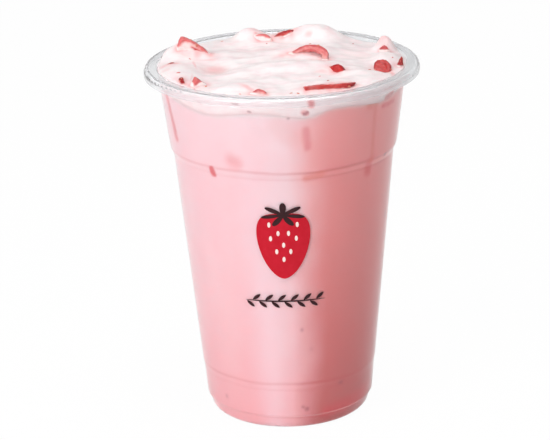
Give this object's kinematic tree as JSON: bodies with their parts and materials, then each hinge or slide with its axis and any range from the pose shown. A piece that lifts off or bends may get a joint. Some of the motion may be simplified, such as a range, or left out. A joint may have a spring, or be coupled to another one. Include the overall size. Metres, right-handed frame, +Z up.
{
  "type": "strawberry milk tea",
  "caption": "Strawberry milk tea in a clear tapered plastic cup with a wide flanged rim, filled to the brim, with a mounded cream layer and chopped strawberries on top.",
  "frame": {"origin": "centre of the ring that the cup stands on", "axes": "+Z up along the cup's axis, -Y towards the front"},
  "size_m": [0.095, 0.095, 0.1321],
  "materials": {
    "clear_plastic": "clear, thin, glossy",
    "milk_tea": "opaque pink milk drink",
    "cream": "soft whipped cream, moist",
    "strawberry": "wet cut fruit",
    "seed": "small seeds",
    "print": "screen-printed ink"
  },
  "bodies": {
    "root": {"berry_back": "strawberry", "berry_back_left": "strawberry", "berry_front_dice": "strawberry", "berry_front_slice": "strawberry", "berry_left_edge": "strawberry", "berry_left_pale": "strawberry", "berry_left_slice": "strawberry", "berry_left_tip": "strawberry", "berry_middle_curl": "strawberry", "berry_middle_wedge": "strawberry", "berry_right_curl": "strawberry", "berry_right_peak": "strawberry", "berry_right_round": "strawberry", "cream": "cream", "cup": "clear_plastic", "milk_tea": "milk_tea"}
  },
  "joints": []
}
